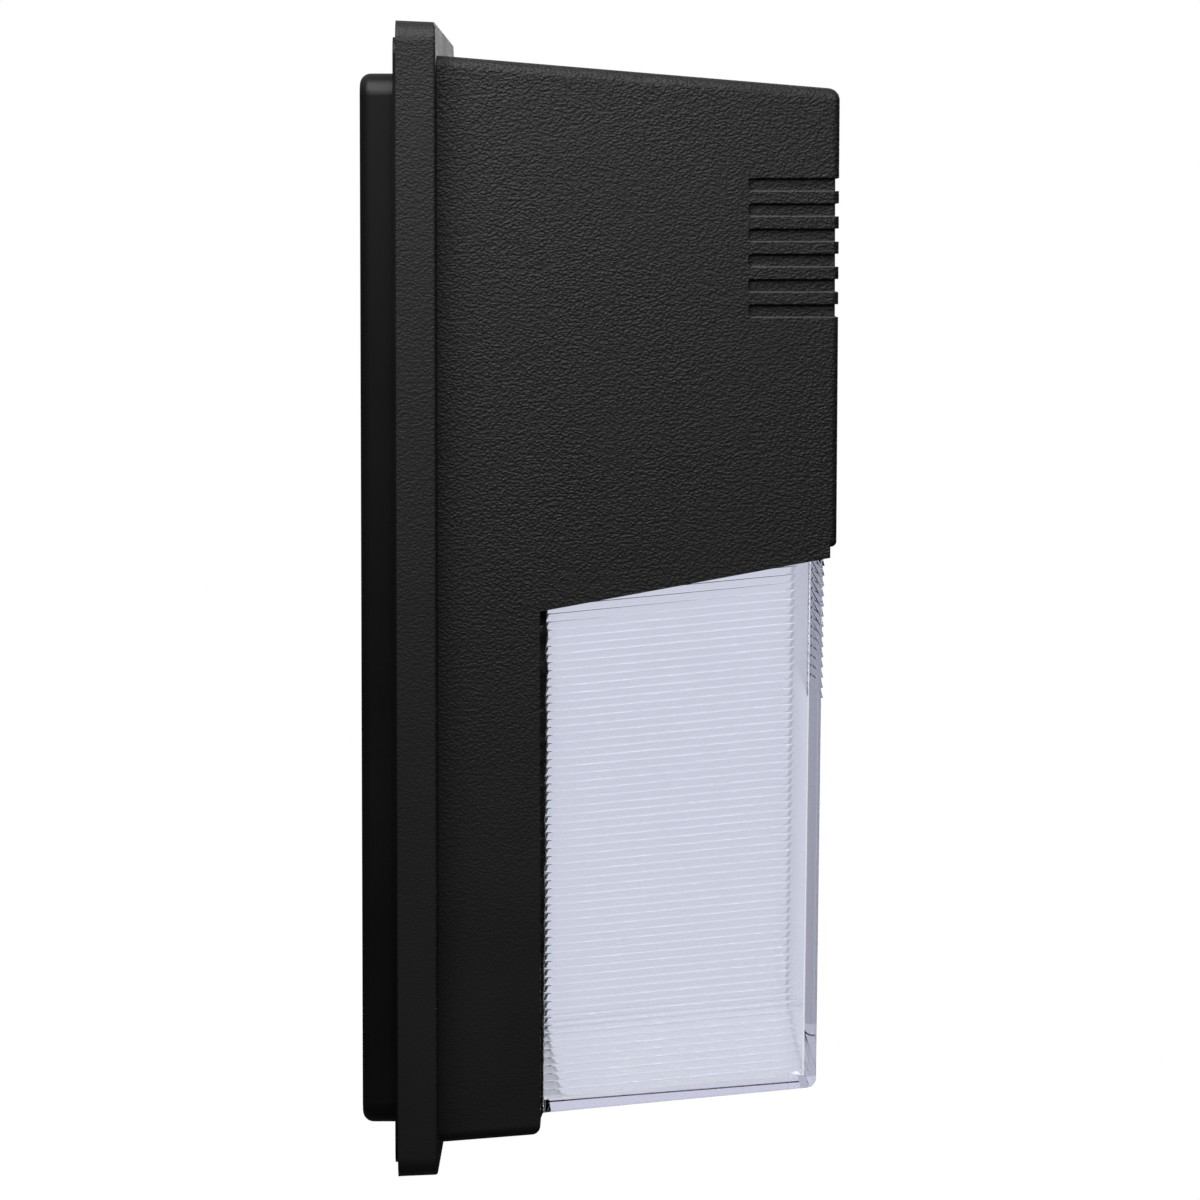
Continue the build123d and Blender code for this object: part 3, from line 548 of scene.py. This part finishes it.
# the front's faces in the teeth's area, or all of them where inner is wider than the lens
def frontFaces(bm, inner):
    found = []
    for face in bm.faces:
        onFront = all(abs(-v.co.y - frontAt(v.co.z)) < hair for v in face.verts)
        p = face.calc_center_median()
        across = abs(p.x) < inner and toothEnd < p.z < toothTop
        if onFront and (across or inner > lensHalf):
            found.append(face)
    return found


# saw teeth on the front, each widening downwards to a sharp lower lip
def cutTeeth(bm):
    inner = lensHalf - size("toothMargin")
    for x in (-inner, inner):
        cutFaces(bm, frontFaces(bm, 2 * lensHalf), (x, 0, 0), (1, 0, 0))
    for z in (toothTop, toothEnd):
        cutFaces(bm, frontFaces(bm, 2 * lensHalf), (0, 0, z), (0, 0, 1))
    for index in range(1, lensShape["toothCount"]):
        z = toothTop - index * size("toothPitch")
        cutFaces(bm, frontFaces(bm, inner), (0, 0, z), (0, 0, 1))
    rows = bmesh.ops.extrude_discrete_faces(bm, faces=frontFaces(bm, inner))["faces"]
    for face in rows:
        low = min(v.co.z for v in face.verts)
        for v in face.verts:
            if v.co.z < low + hair:
                v.co.y -= size("toothHeight")
    bmesh.ops.remove_doubles(bm, verts=bm.verts, dist=hair)


# how far forward the ribs inside the sides reach at a height
def ribFront(z):
    return frontAt(z) - size("wall") - size("ribFrontGap")


def sideFaces(bm, side, ribbed):
    x = side * (lensHalf - size("wall"))
    found = []
    for face in bm.faces:
        if all(abs(v.co.x - x) < size("ribHeight") + hair for v in face.verts):
            p = face.calc_center_median()
            if not ribbed or size("ribRear") < -p.y < ribFront(p.z):
                found.append(face)
    return found


# fine ribs inside the two sides, parallel to the lens's sloping bottom
def raiseRibs(bm):
    rear = size("ribRear")
    taper = size("ribTaper")
    tilt = math.radians(lensShape["bottomSlope"])
    normal = (0, math.sin(tilt), math.cos(tilt))
    for side in (-1, 1):
        for depth in (rear, rear + taper):
            cutFaces(bm, sideFaces(bm, side, False), (0, -depth, 0), (0, 1, 0))
        for depth in (ribFront(0) - taper, ribFront(0)):
            cutFaces(bm, sideFaces(bm, side, False), (0, -depth, 0), (0, 1, draft))
        for index in range(lensShape["ribCount"]):
            z = bottomAt(rear) + size("wall") + size("ribLift") + index * size("ribPitch")
            for shift, rise in ((-0.5, 0), (0.5, 0), (-0.25, 0.75), (0.25, 0.75), (0, 1)):
                point = (0, -rear, z + shift * size("ribWidth"))
                for v in cutFaces(bm, sideFaces(bm, side, True), point, normal):
                    away = min(-v.co.y - rear, ribFront(v.co.z) + v.co.y)
                    below = lensTop - size("wall") - v.co.z
                    if away > hair and below > hair:
                        v.co.x = side * (lensHalf - size("wall") - rise * size("ribHeight"))


def clearPlastic():
    look = lensLook
    finish = Finish("clearPlastic")
    near = 0.02 * mm
    waves = finish.noise(look["waveScale"], detail=2.0)
    finish.link(finish.between(waves, *look["roughness"]), "Roughness")
    finish.link(finish.bump(waves, look["waveDepth"] * mm, look["waves"]), "Normal")
    tint = finish.shades(waves, look["tint"], shade(look["tint"], look["tintDrift"]))
    across = finish.math("ABSOLUTE", finish.along((1, 0, 0)))
    ribbed = finish.math("GREATER_THAN", across, lensHalf - size("wall") - 2 * size("ribHeight"))
    tint = finish.mixed(ribbed, look["clearTint"], tint)
    # painted highlight on the ribs' crests, strongest at the bottom
    highlitCrests = finish.math("LESS_THAN", across, lensHalf - size("wall") - 0.5 * size("ribHeight"))
    low, high, left = look["ribHighlightFade"]
    fade = finish.between(finish.along((0, 0, 1)), 1.0, left, low * mm, high * mm)
    highlitCrests = finish.math("MULTIPLY", fade, finish.math("MULTIPLY", ribbed, highlitCrests))
    tint = finish.mixed(highlitCrests, tint, look["paintedRibHighlight"])
    end = finish.math("GREATER_THAN", across, lensHalf - size("sideEdge"))
    # distances ahead of the front face and, below, above the bottom face
    ahead = finish.math("SUBTRACT", finish.along((0, -1, -draft)), lensFront - lensTop * draft)
    frontWall = finish.math("GREATER_THAN", ahead, -size("wall"))
    toothEnds = finish.math("GREATER_THAN", across, lensHalf - size("toothMargin") - near)
    teeth = finish.math("MULTIPLY", toothEnds, finish.math("GREATER_THAN", ahead, near))
    below = lensBottom + gasketLow.y * slope + size("wall")
    bottomWall = finish.math("LESS_THAN", finish.along((0, slope, 1)), below)
    # painted shade on the ends of the front wall, the bottom wall and the teeth
    tint = finish.mixed(finish.math("MULTIPLY", end, frontWall), tint, look["frontEndShade"])
    tint = finish.mixed(finish.math("MULTIPLY", end, bottomWall), tint, look["floorEndShade"])
    tint = finish.mixed(teeth, tint, look["teethEndShade"])
    finish.link(tint, "Base Color")
    finish.set(IOR=look["index"], Transmission_Weight=1.0)
    depths = {"Color": look["depthTint"], "Density": look["depthLoss"]}
    inside = finish.add("VolumeAbsorption", depths)
    finish.tree.links.new(inside.outputs[0], finish.output.inputs["Volume"])
    return finish.material


def makeLens():
    lipFront = lensRear + size("lipThick")
    bm = bmesh.new()
    sideBlock(bm, lensOutline(0, lipFront), lensHalf)
    roundOuterCorners(bm, lipFront)
    openRear(bm, lipFront)
    growLip(bm, lipFront)
    bm.normal_update()
    cutTeeth(bm)
    inner = bmesh.new()
    sideBlock(inner, lensOutline(size("wall"), lensRear), lensHalf - size("wall"))
    roundInnerCorners(inner)
    openRear(inner, lensRear)
    raiseRibs(inner)
    innerMesh = bpy.data.meshes.new("lensInside")
    inner.to_mesh(innerMesh)
    inner.free()
    bm.from_mesh(innerMesh)
    bpy.data.meshes.remove(innerMesh)
    bmesh.ops.triangle_fill(
        bm, edges=rimEdges(bm, lensRear), use_beauty=True, use_dissolve=False, normal=(0, 1, 0)
    )
    bmesh.ops.remove_doubles(bm, verts=bm.verts, dist=hair / 10)
    bmesh.ops.recalc_face_normals(bm, faces=bm.faces)
    if bm.calc_volume(signed=True) < 0:
        bmesh.ops.reverse_faces(bm, faces=bm.faces)
    print("lens volume", round(bm.calc_volume() * 1e9), "mm3,", len(bm.faces), "faces, open edges",
          sum(not edge.is_manifold for edge in bm.edges))
    lens = finishMesh(bm, "prismLens")
    lens.data.materials.append(clearPlastic())
    smoothSharp(lens, 35)
    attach(lens, "cover")
    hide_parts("lens")


# the black sealant between the lens and the frame
sealShape = {        # millimetres
    "frame": 49.5,        # the depth of the frame's front face
    "topWidth": 2.3,        # how far the sealant comes along the lens, at its top
    "lowWidth": 0.8,        # and at its bottom
    "underShare": 0.4,        # how much of that is left under the lens
    "rightShare": 0.25,        # and on the right, where the bead lies deeper in its groove
    "thick": 1.2,        # on the frame
    "sink": 0.1,
    "overlap": 0.02,        # into the lens
    "step": 0.8,
    "rounds": 6,
    "uneven": 0.28,
    "lump": 4.0,
    "speck": 0.9,
}
sealLook = {
    "dark": (0.006, 0.006, 0.006),
    "light": (0.014, 0.014, 0.014),
    "roughness": (0.16, 0.4),
    "specks": 1400.0,
    "smears": 350.0,
    "depth": 0.25,        # millimetres
}


# points down the left side, across the bottom and up the right side, with the way outwards
def sealPath():
    low = bottomAt(sealShape["frame"] * mm)
    bend = size("sideEdge")
    step = sealShape["step"] * mm
    steps = round((lensTop - low - bend) / step)
    side = [
        (-lensHalf, lensTop + (low + bend - lensTop) * index / steps, -1.0, 0.0)
        for index in range(steps)
    ]
    for index in range(lensShape["edgeSteps"] + 1):
        turn = math.radians(90 * index / lensShape["edgeSteps"])
        x, z = -math.cos(turn), -math.sin(turn)
        side.append((-lensHalf + bend + bend * x, low + bend + bend * z, x, z))
    flat = lensHalf - bend
    steps = round(2 * flat / step)
    bottom = [(-flat + 2 * flat * index / steps, low, 0.0, -1.0) for index in range(1, steps)]
    return side + bottom + [(-x, z, -outX, outZ) for x, z, outX, outZ in reversed(side)]


# the bead's section at a point: how far out from the lens and ahead of the frame its corners are
def sealSection(x, z, outZ):
    shape = sealShape
    low = bottomAt(shape["frame"] * mm)
    lump = noise.noise(Vector((x, 0.7, z)) / (shape["lump"] * mm))
    speck = noise.noise(Vector((x, 3.1, z)) / (shape["speck"] * mm))
    swell = 1 + shape["uneven"] * (lump + 0.5 * speck)
    share = (z - low) / (lensTop - low)
    width = (shape["lowWidth"] + (shape["topWidth"] - shape["lowWidth"]) * share) * swell * mm
    width *= 1 + outZ * (1 - shape["underShare"])
    width *= 1 - (1 - shape["rightShare"]) * (x / lensHalf + 1) / 2
    thick = shape["thick"] * swell * mm
    section = [(-shape["overlap"] * mm, -shape["sink"] * mm), (thick, -shape["sink"] * mm)]
    for index in range(shape["rounds"] + 1):
        turn = math.radians(90 * index / shape["rounds"])
        section.append((thick * math.cos(turn), width * math.sin(turn)))
    section.append((-shape["overlap"] * mm, width))
    return section


def glossySealant():
    look = sealLook
    finish = Finish("glossySealant")
    specks = finish.noise(look["specks"])
    finish.link(finish.shades(specks, look["dark"], look["light"]), "Base Color")
    smears = finish.noise(look["smears"])
    finish.link(finish.between(smears, *look["roughness"]), "Roughness")
    finish.link(finish.bump(specks, look["depth"] * mm, strength=0.8), "Normal")
    return finish.material


def makeSeal():
    frameFace = sealShape["frame"] * mm
    bm = bmesh.new()
    rings = []
    for x, z, outX, outZ in sealPath():
        rings.append([
            bm.verts.new((x + outX * out, -frameFace - ahead, z + outZ * out))
            for out, ahead in sealSection(x, z, outZ)
        ])
    count = len(rings[0])
    for first, second in zip(rings, rings[1:]):
        for index in range(count):
            after = (index + 1) % count
            bm.faces.new((first[index], first[after], second[after], second[index]))
    bm.faces.new(rings[0])
    bm.faces.new(rings[-1])
    bmesh.ops.recalc_face_normals(bm, faces=bm.faces)
    seal = finishMesh(bm, "lensSeal")
    seal.data.materials.append(glossySealant())
    smoothSharp(seal, 50)
    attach(seal, "cover")


# the finishes of the pieces inside
marks = {        # each finish's marks: how many per metre, and their detail
    "peel": (900.0, 2.0),
    "paintPatches": (25.0, 4.0),
    "platingClouds": (140.0, 4.0),
    "mouldedSpark": (2600.0, 3.0),
    "mouldedPatches": (40.0, 3.0),
    "rubberBloom": (90.0, 5.0),
    "rubberSkin": (1800.0, 2.0),
    "boardShine": (200.0, 3.0),
}
markDepths = {        # millimetres, and how strongly they show
    "peel": (0.03, 0.5),
    "scratches": (0.01, 0.5),
    "spark": (0.03, 0.6),
    "skin": (0.03, 0.5),
    "traces": (0.04, 0.6),
}
drifts = {        # the factors between which a finish's shade drifts, and its roughness
    "paint": ((0.92, 1.04), (0.9, 1.15)),
    "plate": ((0.8, 1.06), (0.8, 1.4)),
    "moulded": ((0.93, 1.03), (0.85, 1.2)),
    "rubber": ((0.85, 1.25), (0.62, 0.8)),
}
insideEdge = 0.25        # how softly edges catch the light, in millimetres
rubberGloss = 0.3
boardRoughness = (0.3, 0.42)
scratchScale = (300, 2600, 2600)        # scratches per metre, longest along X
traceSize = (9.0, 5.5)        # millimetres between a board's traces, along and across


# a colour and a roughness that drift with the clouds and the marks
def drift(finish, kind, colour, clouds, roughness, shine):
    shades, shares = drifts[kind]
    low, high = (shade(colour, factor) for factor in shades)
    finish.link(finish.shades(clouds, low, high), "Base Color")
    low, high = (roughness * share for share in shares)
    finish.link(finish.between(shine, low, high), "Roughness")


def markSurface(finish, kind, height, under=None):
    depth, strength = markDepths[kind]
    finish.link(finish.bump(height, depth * mm, strength, under), "Normal")


def paintedMetal(name, colour, roughness, gloss=0.5):
    finish = Finish(name)
    peel = finish.noise(*marks["peel"])
    patches = finish.noise(*marks["paintPatches"])
    soft = finish.softEdges(insideEdge)
    drift(finish, "paint", colour, patches, roughness, patches)
    markSurface(finish, "peel", peel, soft)
    finish.set(Specular_IOR_Level=gloss)
    return finish.material


def platedMetal(name, colour, roughness):
    finish = Finish(name)
    clouds = finish.noise(*marks["platingClouds"])
    scratches = finish.noise(1.0, vector=finish.stretched(scratchScale))
    soft = finish.softEdges(insideEdge)
    drift(finish, "plate", colour, clouds, roughness, scratches)
    markSurface(finish, "scratches", scratches, soft)
    finish.set(Metallic=1.0)
    return finish.material


def mouldedPlastic(name, colour, roughness):
    finish = Finish(name)
    spark = finish.noise(*marks["mouldedSpark"])
    patches = finish.noise(*marks["mouldedPatches"])
    soft = finish.softEdges(insideEdge)
    drift(finish, "moulded", colour, patches, roughness, spark)
    markSurface(finish, "spark", spark, soft)
    return finish.material


def rubberFinish(name, colour):
    finish = Finish(name)
    bloom = finish.noise(*marks["rubberBloom"])
    skin = finish.noise(*marks["rubberSkin"])
    drift(finish, "rubber", colour, bloom, 1.0, bloom)
    markSurface(finish, "skin", skin)
    finish.set(Specular_IOR_Level=rubberGloss)
    return finish.material


def circuitFinish(name, board, traces, width):
    finish = Finish(name)
    turned = finish.add(
        "Mapping", {"Vector": finish.place, "Rotation": (math.radians(90), 0, 0)}
    ).outputs[0]
    lines = finish.add(
        "TexBrick",
        {"Vector": turned, "Scale": 1.0, "Mortar Size": width * mm, "Mortar Smooth": 0.2,
         "Brick Width": traceSize[0] * mm, "Row Height": traceSize[1] * mm},
    ).outputs["Fac"]
    finish.link(finish.shades(lines, board, traces), "Base Color")
    markSurface(finish, "traces", lines)
    shine = finish.noise(*marks["boardShine"])
    finish.link(finish.between(shine, *boardRoughness), "Roughness")
    return finish.material


insideLooks = {        # colour and roughness
    "box": ((0.0045, 0.0045, 0.0048), 0.38, 0.18),        # and gloss
    "tray": ((0.80, 0.80, 0.80), 0.35),
    "reflector": ((0.88, 0.88, 0.89), 0.4),
    "zinc": ((0.56, 0.56, 0.54), 0.32),
    "brass": ((0.62, 0.44, 0.17), 0.28),
    "aluminium": ((0.62, 0.63, 0.64), 0.4),
    "green": ((0.03, 0.22, 0.07), 0.3),
    "driver": ((0.66, 0.66, 0.65), 0.45),
    "phosphor": ((0.80, 0.58, 0.12), 0.4),
    "terminal": ((0.3, 0.31, 0.32), 0.45),
}
rubberLooks = {
    "black": (0.014, 0.014, 0.014),
    "grey": (0.22, 0.22, 0.23),
    "red": (0.36, 0.012, 0.012),
    "white": (0.7, 0.7, 0.7),
}
boardLooks = {        # a board, its traces, and the traces' width in millimetres
    "light": ((0.76, 0.77, 0.76), (0.72, 0.73, 0.72), 0.5),
    "driver": ((0.02, 0.13, 0.05), (0.05, 0.22, 0.09), 0.4),
}


def dressNodes():
    looks = insideLooks
    zinc = platedMetal("zincPlate", *looks["zinc"])
    rubber = rubberFinish("blackRubber", rubberLooks["black"])
    driver = mouldedPlastic("driverShell", *looks["driver"])
    finishes = {
        "front_housing": mouldedHousing(),
        "back_box": paintedMetal("satinBox", *looks["box"]),
        "rim_gasket": rubber,
        "lens_gasket": rubber,
        "cable_grommet": rubber,
        "screw_seal_left": rubber,
        "screw_seal_right": rubber,
        "hinge_pins": zinc,
        "tray_screws": zinc,
        "led_board_screws": zinc,
        "driver_screws": zinc,
        "terminal_screws": zinc,
        "cover_screw_left": zinc,
        "cover_screw_right": zinc,
        "screw_inserts": platedMetal("turnedBrass", *looks["brass"]),
        "ground_screw": paintedMetal("greenScrew", *looks["green"]),
        "gear_tray": paintedMetal("whiteTray", *looks["tray"]),
        "reflector": paintedMetal("whiteReflector", *looks["reflector"]),
        "led_board": circuitFinish("whiteBoard", *boardLooks["light"]),
        "led_chips": mouldedPlastic("phosphor", *looks["phosphor"]),
        "led_connector": driver,
        "heat_sink": platedMetal("drawnAluminium", *looks["aluminium"]),
        "driver_case": driver,
        "driver_lid": driver,
        "driver_board": circuitFinish("greenBoard", *boardLooks["driver"]),
        "terminal_block": mouldedPlastic("terminalBody", *looks["terminal"]),
        "lead_grommets": rubberFinish("greyRubber", rubberLooks["grey"]),
        "positive_lead": rubberFinish("redLead", rubberLooks["red"]),
        "negative_lead": rubberFinish("blackLead", rubberLooks["black"]),
        "line_lead": rubberFinish("lineLead", rubberLooks["black"]),
        "neutral_lead": rubberFinish("whiteLead", rubberLooks["white"]),
    }
    for node, material in finishes.items():
        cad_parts[node].material_slots[0].material = material


placeCamera()
hangLamps()
paintWorld()
layFloor()
print("camera, lamps and floor ready")
makeLens()
print("lens made")
makeSeal()
print("sealant made")
dressNodes()
print("finishes on")

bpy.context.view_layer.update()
scene = bpy.context.scene
scene.view_settings.view_transform = "Standard"
scene.cycles.max_bounces = lightBounces["all"]
scene.cycles.glossy_bounces = lightBounces["glossy"]
scene.cycles.transmission_bounces = lightBounces["clear"]
